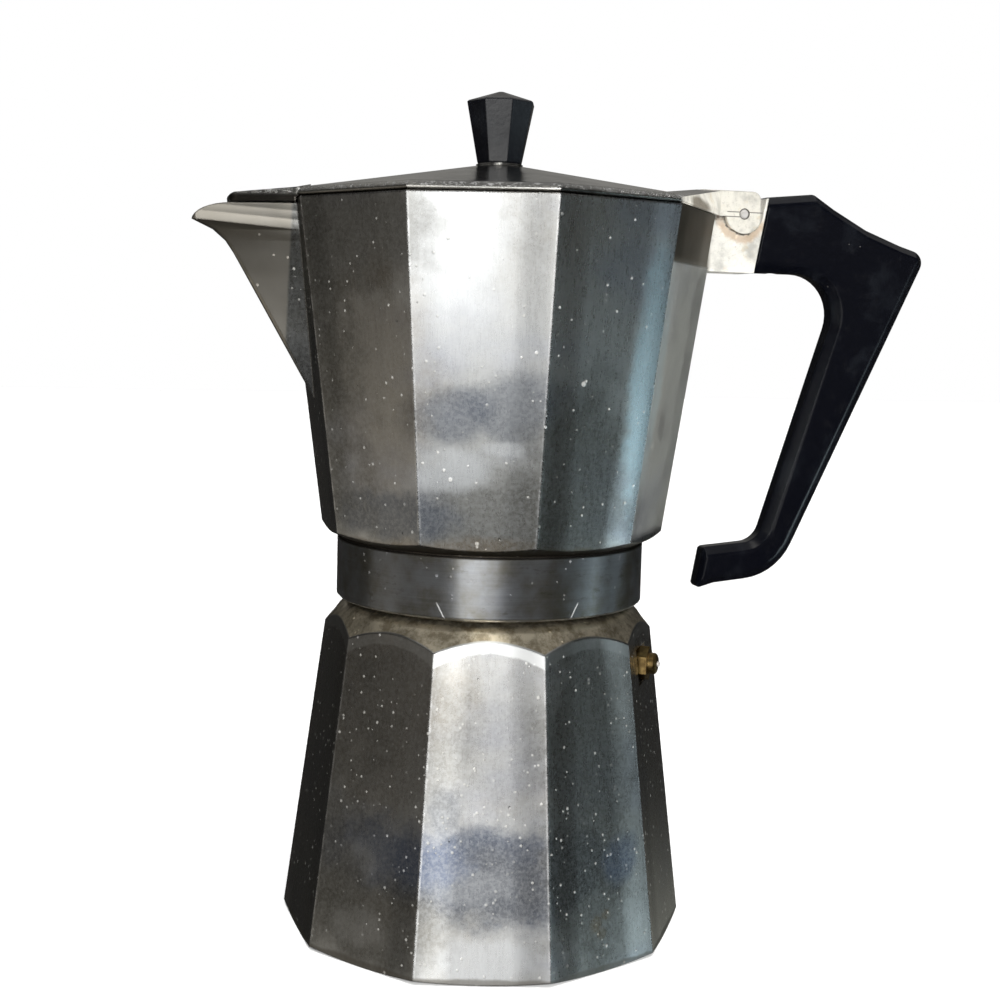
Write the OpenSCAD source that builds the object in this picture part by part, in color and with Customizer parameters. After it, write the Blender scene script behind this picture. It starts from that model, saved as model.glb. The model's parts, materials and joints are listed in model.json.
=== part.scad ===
// Stove-top moka pot: ten-sided cast aluminium boiler and collector, hinged lid and moulded handle.
// Millimetres, +Z up. Origin: centre of the boiler's flat base. +X: handle. -X: spout.
// Heights below are measured from the corners of the boiler's foot, which end foot_drop above the base.

/* [Boiler] */
// Width of the base across its flats
base_w = 120; // [118:0.5:122]
// Depth of the flat base below the foot's corners
foot_drop = 1.2; // [0.8:0.1:2]
// Corner radius where the flat sides end below the shoulder
shoulder_r = 51.3; // [50.5:0.1:52]
// Height of that corner
shoulder_z = 91.5; // [90:0.5:92]
// Radius of the neck behind its thread
neck_r = 42; // [41.8:0.1:42.2]
// Radius of the hole through the neck
neck_bore_r = 39; // [38.8:0.1:39.2]
// Height of the top of the neck
neck_top_z = 112.6; // [112:0.1:112.8]
// Thickness of the boiler's floor
floor_t = 3.5; // [3:0.1:5]
// Turn of the boiler's sides against the collector's, in degrees
boiler_turn = 4.6; // [0:0.1:8]

/* [Screw joint] */
// Rise of the collector in one turn
pitch = 3; // [3:0.1:3.2]
// Number of turns of thread on the neck
thread_turns = 2.6; // [2:0.1:2.6]

/* [Collector] */
// Radius of the round skirt
skirt_r = 47.7; // [47.4:0.1:47.8]
// Height of the skirt's lower edge
skirt_z = 100.4; // [100.2:0.1:101]
// Corner radius at the rim
rim_r = 67.1; // [66.5:0.1:67.5]
// Height of the rim
rim_z = 220; // [219:0.5:221]
// Corner radius at the waist, just above the skirt
waist_r = 53.3; // [53:0.1:54]
// Height of the waist's corners
waist_z = 121.2; // [121:0.1:121.5]
// Thickness of the cast wall
wall = 2.6; // [2.2:0.1:3]

/* [Spout] */
// Height where the spout leaves the flat side
spout_foot_z = 160.8; // [160:0.2:162]
// Half the width of the spout where it meets the flat side, at the rim
spout_half_w = 14.2; // [13.5:0.1:15]
// Lean of the keel below the lip, X per mm of height
keel_lean = 0.572; // [0.56:0.002:0.585]
// Distance of the lip from the axis
lip_x = 93; // [91:0.2:93.4]
// Height of the lip
lip_z = 213.3; // [213:0.1:214]
// Height of the spout's side edges
spout_edge_z = 218.4; // [218:0.1:218.6]

/* [Lid] */
// Height of the flat top that carries the knob
crown_z = 233.2; // [232.5:0.1:234]
// Thickness of the lid
lid_t = 1.5; // [1.2:0.1:1.8]

/* [Hinge] */
// Distance of the hinge pin from the axis
pin_x = 78.3; // [78:0.1:78.6]
// Height of the hinge pin
pin_z = 221.9; // [221.7:0.1:222]
// Radius of the hinge pin
pin_r = 1.5; // [1.4:0.1:1.6]
// Half the width of the lug between the lid's cheeks
lug_half = 6.3; // [6:0.1:6.4]

/* [Knob] */
// Width across flats at the foot
knob_foot_w = 13.3; // [12.5:0.1:14]
// Width across flats at the top
knob_top_w = 20.1; // [19:0.1:21]
// Height of the knob's upper edge
knob_edge_z = 252.9; // [250:0.5:255]
// Height of the knob's tip
knob_tip_z = 256; // [254.5:0.5:258]

/* [Safety valve] */
// Height of the valve
valve_z = 82.8; // [82:0.1:84]
// Width of the hexagon across its flats
hex_w = 9; // [8.5:0.1:9.5]

/* [Hidden] */
$fn = 96;

SIDES = 10;
HALF_SIDE = 180 / SIDES;
KNOB_SIDES = 8;
eps = 0.05;                       // face-to-face gap of parts that rest on each other
fit = 0.05;                       // radial gap of a running fit

alloy = "#a3a19b";
alloy_dark = "#8b8983";
bakelite = "#1c1c1f";
brass = "#9a7a3c";
steel = "#b8b8ba";

base_r = base_w / 2 / cos(HALF_SIDE);
side_slope = (base_r - shoulder_r) / shoulder_z;          // boiler corner radius lost per mm of height
flare = (rim_r - waist_r) / (rim_z - waist_z);            // collector corner radius gained per mm
underside_rise = 0.45;                                    // rise per mm of the collector's underside

// ---------------------------------------------------------------- helpers

function unit(v) = v / norm(v);
function lerp(a, b, t) = a + (b - a) * t;
function left(v) = [-v[1], v[0]];
function turn_of(a, b) = atan2(a[0] * b[1] - a[1] * b[0], a * b);

// Sharp corner i of outline V (counter-clockwise [x, y, radius, inset]), its two edges moved inwards by
// s times each edge's own inset.
function inset_corner(V, i, s) =
    let (n = len(V), p = [V[i][0], V[i][1]], a = V[(i + n - 1) % n], b = V[(i + 1) % n],
         n0 = left(unit(p - [a[0], a[1]])), n1 = left(unit([b[0], b[1]] - p)),
         c = n0 * n1, k = 1 - c * c, e0 = s * a[3], e1 = s * V[i][3])
    p + n0 * (e0 - e1 * c) / k + n1 * (e1 - e0 * c) / k;

// Outline V with every corner rounded; the same number of points whatever the inset.
function outline(V, s = 0, step = 9) =
    let (n = len(V), C = [for (i = [0 : n - 1]) inset_corner(V, i, s)])
    [for (i = [0 : n - 1])
        let (p = C[i], u = unit(p - C[(i + n - 1) % n]), v = unit(C[(i + 1) % n] - p), t = turn_of(u, v),
             m = max(1, ceil(abs(t) / step)),
             r = max(0.25, V[i][2] - sign(t) * s * max(V[i][3], V[(i + n - 1) % n][3])),
             o = p - u * r * tan(abs(t) / 2) + sign(t) * left(u) * r)
        for (k = [0 : m]) o - sign(t) * r * left([u[0] * cos(t * k / m) - u[1] * sin(t * k / m),
                                                   u[0] * sin(t * k / m) + u[1] * cos(t * k / m)])];

function plain(V) = [for (v = V) [v[0], v[1], len(v) > 2 ? v[2] : 0.3, 0]];
module rounded(V) { polygon(outline(plain(V))); }

// Ear i of the outline P, cut to the corners listed in L: a convex corner with no other corner inside it.
function cross2(o, a, b) = (a[0] - o[0]) * (b[1] - o[1]) - (a[1] - o[1]) * (b[0] - o[0]);
function is_ear(P, L, i) =
    let (n = len(L), h = (i + n - 1) % n, j = (i + 1) % n, a = P[L[h]], b = P[L[i]], c = P[L[j]])
    cross2(a, b, c) > 1e-6 && len([for (k = [0 : n - 1]) if (k != h && k != i && k != j
        && min(cross2(a, b, P[L[k]]), cross2(b, c, P[L[k]]), cross2(c, a, P[L[k]])) >= 0) k]) == 0;
function next_ear(P, L, i, left_to_try) =
    left_to_try == 0 || is_ear(P, L, i % len(L)) ? i % len(L) : next_ear(P, L, i + 1, left_to_try - 1);

// Triangles that fill the flat outline P, counter-clockwise, hollows in its edge included.
function fill(P, L, start = 0) = len(L) < 4 ? [L] :
    let (n = len(L), i = next_ear(P, L, start, n))
    concat([[L[(i + n - 1) % n], L[i], L[(i + 1) % n]]],
           fill(P, [for (k = [0 : n - 1]) if (k != i) L[k]], i + 1));

// Solid through a list of sections, each the same number of points, counter-clockwise seen from the end.
// cap: the triangles of an end that has hollows in its edge.
module loft(S, flip = false, cap = []) {
    n = len(S[0]);
    m = len(S);
    walls = [for (j = [0 : m - 2]) for (i = [0 : n - 1])
        let (a = j * n + i, b = j * n + (i + 1) % n) each [[a, a + n, b], [b, a + n, b + n]]];
    ends = len(cap) > 0
        ? [for (t = cap) each [t, [for (k = [2 : -1 : 0]) (m - 1) * n + t[k]]]]
        : [[for (i = [0 : n - 1]) i], [for (i = [n - 1 : -1 : 0]) (m - 1) * n + i]];
    faces = concat(walls, ends);
    polyhedron([for (s = S) each s], flip ? [for (f = faces) [for (k = [len(f) - 1 : -1 : 0]) f[k]]] : faces);
}

// Flat-sided solid: rings of [corner radius, height].
module facets(rings, turn = 0, sides = SIDES) {
    loft([for (q = rings) [for (i = [0 : sides - 1])
        let (a = turn + 180 / sides + i * 360 / sides) [q[0] * cos(a), q[0] * sin(a), q[1]]]]);
}

module revolve(V) { rotate_extrude() polygon(V); }

// Outline in the X-Z plane, extruded along Y from y0 to y1.
module side_plate(y0, y1) {
    translate([0, y1, 0]) rotate([90, 0, 0]) linear_extrude(y1 - y0) children();
}

// One turn of thread climbs by pitch; the ridge runs out smoothly at both ends.
module thread(r_root, r_crest, z0, turns) {
    step = 12;
    n = floor(turns * 360 / step);
    run_out = 3;
    half_root = 0.95;
    half_crest = 0.35;
    sections = [for (i = [0 : n])
        let (a = i * step, z = z0 + pitch * a / 360, k = min(1, (min(i, n - i) + 0.1) / run_out),
             rc = lerp(r_root, r_crest, lerp(0.3, 1, k)), w = lerp(0.5, 1, k))
        [for (q = [[r_root, -half_root], [rc, -half_crest], [rc, half_crest], [r_root, half_root]])
            [q[0] * cos(a), q[0] * sin(a), z + q[1] * w]]];
    loft(sections, r_crest > r_root);
}

module perforations(rings, spacing, r, z0, z1) {
    for (k = [0 : rings]) for (i = [0 : max(0, 6 * k - 1)])
        rotate([0, 0, i * 60 / max(1, k)]) translate([k * spacing, 0, z0]) cylinder(h = z1 - z0, r = r, $fn = 16);
}

// ---------------------------------------------------------------- boiler

boiler_sides_top = neck_top_z + 5;
thread_z = 101.9;                                         // height of the male thread's lower end
valve_angle = -2 * HALF_SIDE + boiler_turn;
valve_face = 46.6;                                        // distance of the valve's seat from the axis
valve_bore_r = 4.1;
pad_inner = 42.8;                                         // inner face of the pad behind the valve

module boiler_sides() {
    facets([[base_r + side_slope * foot_drop, -foot_drop],
            [base_r - side_slope * boiler_sides_top, boiler_sides_top]], boiler_turn);
}

module boiler_round() {
    z = shoulder_z - 0.3;
    r = shoulder_r;
    foot_r = base_w / 2 - 0.4;
    revolve([[0, -foot_drop], [foot_r, -foot_drop], [90, (90 - foot_r) * 0.32 - foot_drop], [90, 60], [r + 2.2, z - 3.2], [r, z], [r - 2.8, z + 3.3], [r - 4.2, z + 5.3],
             [r - 5.8, z + 6.8], [r - 7.5, z + 7.7], [neck_r, z + 8], [neck_r, neck_top_z - 0.5],
             [neck_r - 0.5, neck_top_z], [0, neck_top_z]]);
}

module boiler_cavity() {
    foot = base_w / 2 - 3.8;
    z = floor_t - foot_drop;
    revolve([[0, z], [foot - 3, z], [foot - 0.9, z + 0.9], [foot, z + 3],
             [45.6, 88], [44.6, 91.5], [neck_bore_r + 0.6, 96.5], [neck_bore_r, 98], [neck_bore_r, 130], [0, 130]]);
}

module at_valve() { translate([0, 0, valve_z]) rotate([0, 0, valve_angle]) rotate([0, 90, 0]) children(); }

module valve_pocket() {
    translate([0, 0, valve_z]) rotate([0, 0, valve_angle]) translate([valve_face, -6.5, -5.9]) cube([20, 13, 11.1]);
}

module boiler() color(alloy_dark) difference() {
    union() {
        difference() {
            intersection() { boiler_sides(); boiler_round(); }
            boiler_cavity();
        }
        at_valve() translate([0, 0, pad_inner]) cylinder(h = valve_face - pad_inner + 0.4, r = 9.5);
        thread(neck_r - 0.5, neck_r + 1.3, thread_z, thread_turns);
    }
    valve_pocket();
    at_valve() translate([0, 0, 30]) cylinder(h = 30, r = valve_bore_r);
}

// ---------------------------------------------------------------- safety valve (s = distance from the axis)

washer_t = 0.9;
hex_s = valve_face + washer_t;
nose_s = hex_s + 4.6;
tip_s = nose_s + 2.6;
chamber_r = 2.5;
chamber_s = [43.3, 51.4];
stem_r = 0.8;
stem_head_t = 1.4;

module valve_body() color(brass) at_valve() difference() {
    union() {
        translate([0, 0, 40.8]) cylinder(h = hex_s - 40.8, r = valve_bore_r - fit);
        translate([0, 0, hex_s]) cylinder(h = nose_s - hex_s, r = hex_w / 2 / cos(30), $fn = 6);
        revolve([[0, nose_s - 0.5], [3.3, nose_s - 0.5], [3.3, tip_s - 0.9], [2.9, tip_s - 0.3], [2.2, tip_s], [0, tip_s]]);
    }
    translate([0, 0, 40]) cylinder(h = chamber_s[1] - 40, r = chamber_r);
    translate([0, 0, 50]) cylinder(h = 10, r = stem_r + fit + 0.03);
}

module valve_washer() color("#8a5a3c") at_valve() translate([0, 0, valve_face]) difference() {
    cylinder(h = washer_t, r = 5);
    translate([0, 0, -1]) cylinder(h = 3, r = valve_bore_r);
}

module valve_seat() color(brass) at_valve() translate([0, 0, 40.8]) difference() {
    cylinder(h = chamber_s[0] - 40.8, r = chamber_r);
    translate([0, 0, -1]) cylinder(h = 5, r = 1.4);
}

module valve_stem() color(steel) at_valve() revolve([
    [0, chamber_s[0] - 0.8], [1, chamber_s[0] - 0.2], [1, chamber_s[0] + eps], [2.2, chamber_s[0] + eps],
    [2.2, chamber_s[0] + stem_head_t], [stem_r, chamber_s[0] + stem_head_t], [stem_r, tip_s + 0.4],
    [stem_r - 0.3, tip_s + 0.7], [0, tip_s + 0.7]]);

module valve_spring() color(steel) at_valve() {
    wire = 0.3;
    coil = 1.75;
    turns = 6;
    s0 = chamber_s[0] + stem_head_t + wire + eps;
    s1 = chamber_s[1] - wire - eps;
    loft([for (i = [0 : 12 * turns])
        let (a = 30 * i, s = lerp(s0, s1, i / 12 / turns))
        [for (k = [0 : 5]) [(coil + wire * cos(60 * k)) * cos(a), (coil + wire * cos(60 * k)) * sin(a),
                            s + wire * sin(60 * k)]]], true);
}

// ---------------------------------------------------------------- funnel

flange_z = neck_top_z + eps;
flange_t = 1;
basket_r = neck_bore_r - 0.7;
basket_floor_z = 90.6;
tube_r = 4;
tube_bore_r = 2.75;
tube_end_z = 8;

module funnel() color(alloy) revolve([
    [neck_r, flange_z], [neck_r, flange_z + flange_t], [basket_r - 1, flange_z + flange_t],
    [basket_r - 1, basket_floor_z], [basket_r - 2.2, basket_floor_z], [tube_bore_r, basket_floor_z - 9.4],
    [tube_bore_r, tube_end_z], [tube_r, tube_end_z], [tube_r, basket_floor_z - 10.8],
    [basket_r - 0.9, basket_floor_z - 1.4], [basket_r, basket_floor_z - 0.4], [basket_r, flange_z]]);

module funnel_filter() color(alloy) difference() {
    translate([0, 0, basket_floor_z + eps]) cylinder(h = 0.8, r = basket_r - 1.1);
    perforations(4, 8, 0.9, basket_floor_z - 1, basket_floor_z + 3);
}

// ---------------------------------------------------------------- gasket and filter plate

gasket_z = flange_z + flange_t + eps;
gasket_t = 3.5;
gasket_r = [34.5, 42.7];
seat_z = gasket_z + gasket_t + eps;

module gasket() color("#d8d4cc") rotate_extrude() translate([gasket_r[0], gasket_z])
    rounded([[0, 0, 0.5], [gasket_r[1] - gasket_r[0], 0, 0.5], [gasket_r[1] - gasket_r[0], gasket_t, 0.5],
             [0, gasket_t, 0.5]]);

module filter_plate() color(alloy) difference() {
    r = gasket_r[0] - fit;
    revolve([[0, seat_z - 1.6], [r, seat_z - 1.6], [r, seat_z - eps], [r - 1.2, seat_z - eps],
             [r - 2.2, seat_z - 0.8], [0, seat_z - 0.8]]);
    perforations(5, 5.8, 0.7, seat_z - 3, seat_z + 1);
}

// ---------------------------------------------------------------- collector

skirt_top_z = 118.6;
thread_bore_r = neck_r + 1.8;
column_top_z = 199;
column_bore_r = 2.75;

function side_x(z) = (waist_r + flare * (z - waist_z)) * cos(HALF_SIDE);   // distance of a flat side

module collector_outside() {
    z0 = skirt_z - 1;
    groove_r = skirt_r - 1;
    intersection() {
        facets([[waist_r - flare * (waist_z - z0), z0], [rim_r - flare * 0.4, rim_z - 0.4], [rim_r - 0.4, rim_z]]);
        revolve([[0, skirt_z], [skirt_r - 0.7, skirt_z], [skirt_r, skirt_z + 0.7], [skirt_r, skirt_top_z],
                 [groove_r, skirt_top_z], [groove_r, skirt_top_z + 0.6],
                 [groove_r + 14, skirt_top_z + 0.6 + 14 * underside_rise], [100, 140], [100, 240], [0, 240]]);
    }
}

// The sides below the hinge lie a little deeper above the lug's foot
module hinge_side_recess() {
    depth = 0.5;
    a = 3 * HALF_SIDE;
    far = 2 * rim_r;
    difference() {
        translate([0, 0, lug_foot_z + 0.4]) linear_extrude(30)
            polygon([[0, 0], [far * cos(a), -far * sin(a)], [far * 2, 0], [far * cos(a), far * sin(a)]]);
        facets([[waist_r - flare * 21 - depth, waist_z - 21], [rim_r + flare * 9 - depth, rim_z + 9]]);
    }
}

module collector_inside() {
    w = wall / cos(HALF_SIDE);
    z0 = waist_z - 6;
    floor_z = 120.4;
    intersection() {
        facets([[waist_r - flare * 6 - w, z0], [rim_r - w + flare * 5, rim_z + 5]]);
        revolve([[0, floor_z], [44, floor_z], [60, floor_z + 16 * underside_rise], [60, 240], [0, 240]]);
    }
}

module collector_underside() {
    revolve([[0, skirt_z - 1], [thread_bore_r + 0.6, skirt_z - 1], [thread_bore_r + 0.6, skirt_z],
             [thread_bore_r, skirt_z + 0.6], [thread_bore_r, 113.2],
             [gasket_r[1] + 0.3, 113.2], [gasket_r[1] + 0.3, seat_z], [33.2, seat_z], [33.2, seat_z + 0.9],
             [8.5, seat_z + 0.9], [column_bore_r, seat_z + 8], [column_bore_r, 250], [0, 250]]);
}

module column() {
    revolve([[0, 119], [13, 119], [13, 120.4], [11, 121.4], [9.6, 124], [7, 150], [5.6, 176],
             [5.2, column_top_z], [0, column_top_z]]);
}

module column_cap() color(alloy) difference() {
    revolve([[5.3, 190], [6.6, 190], [6.9, 203], [5.8, 206], [3.6, 207.6], [0, 208.2], [0, 206.6],
             [3.2, 206.1], [4.8, 204.9], [5.3, 203]]);
    for (a = [50, 230]) rotate([0, 0, a]) translate([0, 0, 202.6]) rotate([0, 90, 0]) cylinder(h = 12, r = 1.7);
}

// Spout: horizontal sections, wall inset d.
keel_curl_z = 198;                                        // the keel curls outwards above this height
function keel_x(z) = -side_x(spout_foot_z) - keel_lean * (z - spout_foot_z)
    - (lip_x - side_x(spout_foot_z) - keel_lean * (lip_z - spout_foot_z))
      * pow(max(0, min(1, (z - keel_curl_z) / (lip_z - keel_curl_z))), 6)
    + keel_lean * max(0, z - lip_z);

function spout_section(z, d, depth) =
    let (w = max(0.3, spout_half_w * (z - spout_foot_z) / (rim_z - spout_foot_z) - 1.25 * d),
         nose = min(2.2 - 0.4 * d, w / 2), tip = keel_x(z) + 1.7 * d, o = tip + nose,
         back = -side_x(z) + depth, spread = w + depth * (w - nose) / max(1, -side_x(z) - o))
    [[back, spread, z], for (k = [-2 : 2]) [o - nose * cos(28 * k), -nose * sin(28 * k), z], [back, -spread, z]];

function spout_levels(z0, z1) = [for (i = [0 : 16]) lerp(z0, z1, 1 - pow(1 - i / 16, 1.4))];

module spout_outside() difference() {
    loft([for (z = spout_levels(spout_foot_z - 2, spout_edge_z + 1)) spout_section(z, 0, 1.4)]);
    side_plate(-30, 30) polygon(concat(
        [[0, spout_edge_z], [-lip_x + 11, spout_edge_z]],
        [for (i = [1 : 8]) let (t = 90 * i / 8)
            [-lip_x + 11 * (1 - sin(t)), spout_edge_z - (spout_edge_z - lip_z) * (1 - cos(t))]],
        [[-lip_x - 9, lip_z], [-lip_x - 9, rim_z + 9], [0, rim_z + 9]]));
}

module spout_inside() {
    loft([for (z = spout_levels(spout_foot_z + 9, rim_z + 1)) spout_section(z, 2.3, 7)]);
}

// Lug that carries the hinge pin and the handle
lug_foot_z = 203.6;
lug_rise = 0.178;                                         // lean of the handle's seat, X per mm of height
seat_x0 = 83.08;                                          // the seat's X at lug_foot_z
function seat_x(z) = seat_x0 + lug_rise * (z - lug_foot_z);
plate_top_z = 227.3;
plate_t = 0.8;
core_r = 4.8;
roof_low = 5.3;                                           // underside of the lid's channel above the pin
tongue_half = 3.6;

module lug() {
    slot_z = pin_z - 1.3;
    side_plate(-lug_half, lug_half) difference() {
        polygon([[60, lug_foot_z], [seat_x(lug_foot_z), lug_foot_z], [seat_x(plate_top_z), plate_top_z],
                 [66, plate_top_z], [66, rim_z - 0.6], [60, rim_z - 0.6]]);
        difference() {
            polygon([[50, slot_z], [seat_x(slot_z) - plate_t, slot_z], [seat_x(240) - plate_t, 240], [50, 240]]);
            translate([pin_x, pin_z]) circle(r = core_r);
            polygon([[50, 200], [pin_x, 200], [pin_x, pin_z + core_r], [50, pin_z + core_r]]);
        }
    }
    // root that flares along the flat side
    n = 8;
    translate([0, 0, lug_foot_z]) linear_extrude(rim_z - 0.6 - lug_foot_z)
        polygon([for (s = [-1, 1]) each [for (i = [0 : n]) let (t = 90 * (s < 0 ? i : n - i) / n)
            [61.5 + 5 * (1 - sin(t)), s * (lug_half - 0.1 + 13 * (1 - cos(t)))]]]);
}

module tongue() {
    translate([seat_x0 - 1, -tongue_half, 209]) cube([16, 2 * tongue_half, 12]);
}

module collector() color(alloy) {
    difference() {
        union() {
            difference() {
                union() {
                    difference() { collector_outside(); hinge_side_recess(); }
                    spout_outside();
                    difference() {
                        union() { lug(); tongue(); }
                        facets([[waist_r - flare * 21 - 1, waist_z - 21], [rim_r + flare * 9 - 1, rim_z + 9]]);
                    }
                }
                collector_inside();
                spout_inside();
            }
            column();
        }
        collector_underside();
        side_plate(-20, 20) translate([pin_x, pin_z]) circle(r = pin_r + 0.02);
        translate([handle_screw_x, 0, 200]) cylinder(h = 18, r = handle_screw_r + 0.02);
    }
    collector_thread();
}

module collector_thread() {
    // its upper flank bears on the male thread's lower flank
    thread(thread_bore_r + 0.5, neck_r + 0.6, thread_z + pitch - 1.08, thread_turns - 0.2);
}

// ---------------------------------------------------------------- lid

rim_gap = 0.2;
lid_z = rim_z + rim_gap;
cheek_in = lug_half + 0.3;
cheek_out = cheek_in + 1.6;
roof_top = roof_low + 1.8;
lobe_r = 6.2;
hinge_rear_x = pin_x + 5.6;

module lid_shell() {
    r = rim_r;
    difference() {
        union() {
            facets([[r - 0.5, lid_z], [r, lid_z + 0.45], [r, lid_z + 1], [r - 0.45, lid_z + 1.75],
                    [r - 1.2, lid_z + 2.3], [r - 2.3, lid_z + 2.62], [7.6, crown_z]]);
            cylinder_at(7.2, crown_z - 1, crown_z + 0.7);
        }
        facets([[r - 2.4, lid_z - 1], [r - 2.4, lid_z + 0.7], [5, crown_z - lid_t]]);
    }
}

module cylinder_at(r, z0, z1) { translate([0, 0, z0]) cylinder(h = z1 - z0, r = r); }

// Cover over the spout
module flap() {
    x0 = -rim_r * cos(HALF_SIDE) - 0.35;
    low_z = spout_edge_z + 0.3;
    intersection() {
        translate([0, 0, 200]) linear_extrude(40) flap_side_taper();
        side_plate(-30, 30) polygon([[x0, low_z], [x0, lid_z], [-60, lid_z], [-60, lid_z + 3.6], [x0, lid_z + 2.7],
            [-81.2, lid_z + 1.2], [-82.2, lid_z + 0.7], [-82.5, lid_z], [-82.3, low_z + 0.4], [-81.8, low_z]]);
    }
}

// Plan of the cover: follows the spout's side walls to a round nose
module flap_side_taper() {
    w = spout_half_w + 1.3;
    rounded([[-58, -w], [-rim_r * cos(HALF_SIDE), -w], [-82.5, -6.2, 4.5], [-82.5, 6.2, 4.5],
             [-rim_r * cos(HALF_SIDE), w], [-58, w]]);
}

module flap_hollow() {
    w = spout_half_w - 1.4;
    translate([0, 0, spout_edge_z - 1]) linear_extrude(lid_z - spout_edge_z + 1.2)
        rounded([[-60, -w], [-rim_r * cos(HALF_SIDE), -w], [-80.6, -4.6, 3.5], [-80.6, 4.6, 3.5],
                 [-rim_r * cos(HALF_SIDE), w], [-60, w]]);
}

module cheek_outline() {
    union() {
        rounded([[57, pin_z + 2.7, 0.3], [64, pin_z - 0.9, 3], [hinge_rear_x - 2, pin_z - 0.9, 0.3],
                 [hinge_rear_x, pin_z + 0.5, 1], [hinge_rear_x, pin_z + roof_top, 3.1],
                 [63.2, pin_z + roof_top, 2.5]]);
        translate([pin_x, pin_z]) circle(r = lobe_r);
    }
}

module post(x, y, z0, z1) { translate([x - 0.1, y - 0.1, z0]) cube([0.2, 0.2, z1 - z0]); }

// Root of the hinge: its roof runs down the lid's slope, its sides spread to the lid's next corners
module hinge_root() {
    r = rim_r - 0.2;
    top = pin_z + roof_top - 0.2;
    hull() for (s = [-1, 1]) {
        post(r * cos(3 * HALF_SIDE), s * r * sin(3 * HALF_SIDE), lid_z + 0.3, lid_z + 1.5);
        post(r * cos(HALF_SIDE), s * r * sin(HALF_SIDE), lid_z, lid_z + 1.2);
        post(40.9, s * 2.3, lid_z + 3, 226.8);
        post(58.5, s * (cheek_out - 0.1), lid_z + 0.5, top - 0.5);
        post(62, s * (cheek_out - 0.1), lid_z + 0.5, top);
        post(70, s * (cheek_out - 0.1), lid_z + 0.8, top);
    }
}

module hinge_channel() difference() {
    union() {
        side_plate(-cheek_out, cheek_out) cheek_outline();
        hinge_root();
    }
    // space for the lug between the cheeks
    side_plate(-cheek_in, cheek_in) polygon([[64.6, 200], [64.6, pin_z + roof_low], [pin_x - 0.6, pin_z + roof_low],
                                             [pin_x - 0.6, 240], [100, 240], [100, 200]]);
    // the front end stays on top of the lid
    facets([[rim_r - 2.4, lid_z - 30], [rim_r - 2.4, lid_z + 0.7], [5, crown_z - lid_t]]);
    translate([0, -20, 0]) cube([rim_r - 2.2, 40, lid_z]);
}

module lid() color(alloy) difference() {
    union() {
        difference() {
            union() { lid_shell(); flap(); }
            flap_hollow();
        }
        hinge_channel();
    }
    side_plate(-20, 20) translate([pin_x, pin_z]) circle(r = pin_r + fit);
    cylinder_at(2.3, 225, 240);
}

module hinge_pin() color(steel) translate([pin_x, 0, pin_z]) rotate([90, 0, 0]) {
    end = cheek_out + 0.25;
    revolve([[0, -end], [pin_r - 0.5, -end], [pin_r, -end + 0.5], [pin_r, end - 0.5], [pin_r - 0.5, end], [0, end]]);
}

// ---------------------------------------------------------------- knob

knob_z = crown_z + 0.7 + eps;
knob_turn = -108;                                         // one flat faces this way
knob_screw_r = 2;
insert_r = 3.2;
insert_top_z = knob_z + 11;
knob_c = cos(180 / KNOB_SIDES) * 2;

module knob() color(bakelite) difference() {
    facets([[knob_foot_w / knob_c - 0.4, knob_z], [knob_foot_w / knob_c, knob_z + 0.4],
            [knob_top_w / knob_c, knob_edge_z - 0.5], [knob_top_w / knob_c - 0.5, knob_edge_z],
            [0.9, knob_tip_z]], knob_turn, KNOB_SIDES);
    cylinder_at(insert_r, knob_z - 1, insert_top_z);
}

module knob_insert() color(brass) difference() {
    cylinder_at(insert_r, knob_z, insert_top_z);
    cylinder_at(knob_screw_r + 0.02, knob_z - 1, insert_top_z - 1);
}

module knob_washer() color(steel) difference() {
    cylinder_at(5, crown_z - lid_t - 0.8, crown_z - lid_t - eps);
    cylinder_at(knob_screw_r + 0.3, crown_z - 10, crown_z);
}

module knob_screw() color(steel) {
    z = crown_z - lid_t - 0.8 - eps;
    difference() {
        revolve([[0, z - 2.2], [2.6, z - 2.2], [3.7, z - 1.4], [3.9, z], [knob_screw_r, z],
                 [knob_screw_r, insert_top_z - 2], [0, insert_top_z - 2]]);
        translate([-5, -0.5, z - 3]) cube([10, 1, 1.7]);
    }
}

// ---------------------------------------------------------------- handle

handle_screw_x = 93;
handle_screw_r = 2;
head_seat_z = 207.4;
head_bore_r = 3.1;
grip_bevel = 2.8;                                         // bevel towards the fingers' side
back_bevel = 3.6;
seat_bevel = 0.7;

// Corners of the handle's side view: [x, z, corner radius, bevel of the edge that follows]
handle_corners = [
    [seat_x(203.9), 203.9, 1, grip_bevel],
    [117.4, 203.9, 13.2, grip_bevel],
    [89.9, 116.8, 7.5, grip_bevel],
    [70.9, 114.9, 1.2, 1.2],
    [68.4, 101.1, 1.4, grip_bevel],
    [75, 103.1, 4, grip_bevel],
    [97.2, 105.6, 20, back_bevel],
    [146, 211.5, 4.2, grip_bevel],
    [123.3, 218.1, 100, grip_bevel],
    [104.4, 229.7, 3, grip_bevel],
    [seat_x(227.9), 227.9, 1, seat_bevel]
];
// Rings of [share of the bevel, share of the half thickness]
handle_rings = [[1.2, 1], [0.85, 0.94], [0.12, 0.55], [0, 0.42]];

function handle_half(z) = lug_half - (227.9 - z) * 0.0145;
function handle_ring(s, y) = [for (p = outline(handle_corners, s)) [p[0], y * handle_half(p[1]), p[1]]];

module handle() color(bakelite) difference() {
    side = outline(handle_corners, handle_rings[0][0]);
    loft(concat([for (q = handle_rings) handle_ring(q[0], -q[1])],
                [for (k = [3 : -1 : 0]) handle_ring(handle_rings[k][0], handle_rings[k][1])]), true,
         fill(side, [for (i = [0 : len(side) - 1]) i]));
    translate([seat_x0 - 2, -tongue_half - 0.1, 208.9]) cube([17.2, 2 * tongue_half + 0.2, 12.2]);
    cylinder_below(handle_screw_r + 0.2, 215);
    cylinder_below(head_bore_r, head_seat_z);
}

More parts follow.
